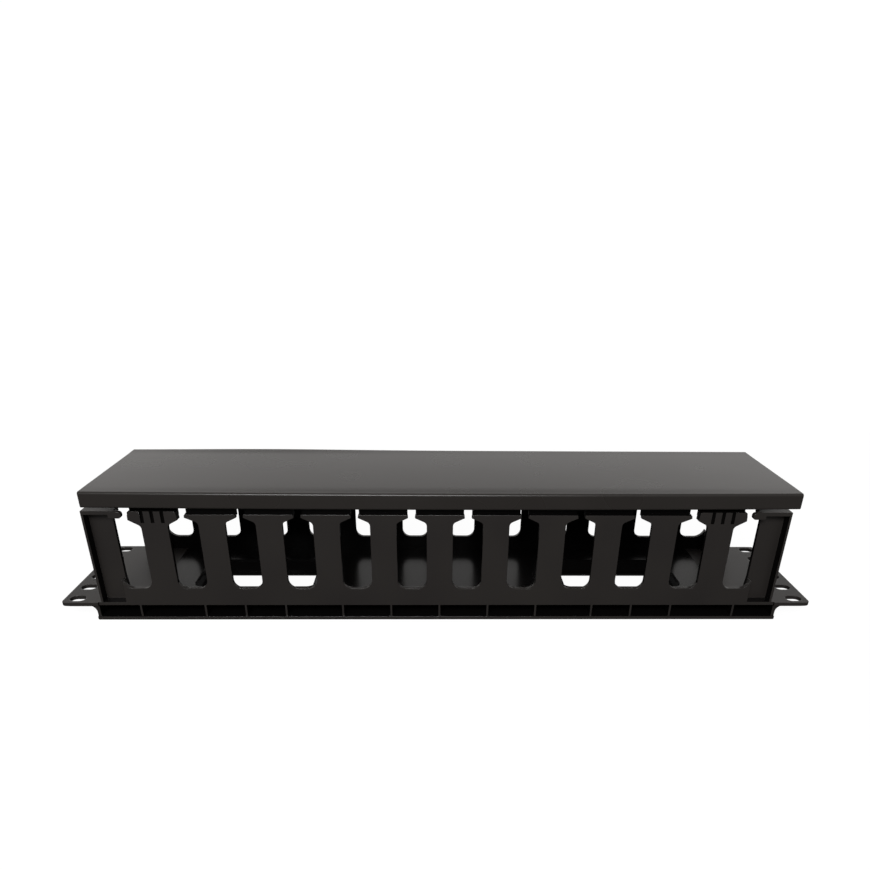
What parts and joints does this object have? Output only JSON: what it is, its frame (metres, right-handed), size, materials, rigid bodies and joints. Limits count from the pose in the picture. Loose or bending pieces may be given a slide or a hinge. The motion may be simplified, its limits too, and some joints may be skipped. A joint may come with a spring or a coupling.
{
  "type": "horizontal cable manager",
  "caption": "Rack-mount slotted cable duct with T-headed fingers, rear pass-throughs, slotted ears and a push-on hinged cover.",
  "frame": {"origin": "centre of the rear plate's outer face", "axes": "+X along the rack width, +Y along the rack height, +Z out of the front of the rack"},
  "size_m": [0.4826, 0.0884, 0.0875],
  "materials": {
    "duct_plastic": "black moulded plastic, satin fingers and glossy back",
    "cover_plastic": "black moulded plastic, satin"
  },
  "bodies": {
    "duct": {"base": "duct_plastic"},
    "cover": {"cover": "cover_plastic"}
  },
  "joints": [
    {"name": "cover_hinge", "type": "hinge", "parent": "duct", "child": "cover", "pos_m": [0.0024, 0.0429, 0.0776], "axis": [-1, 0, 0], "range_deg": [0, 100]}
  ]
}
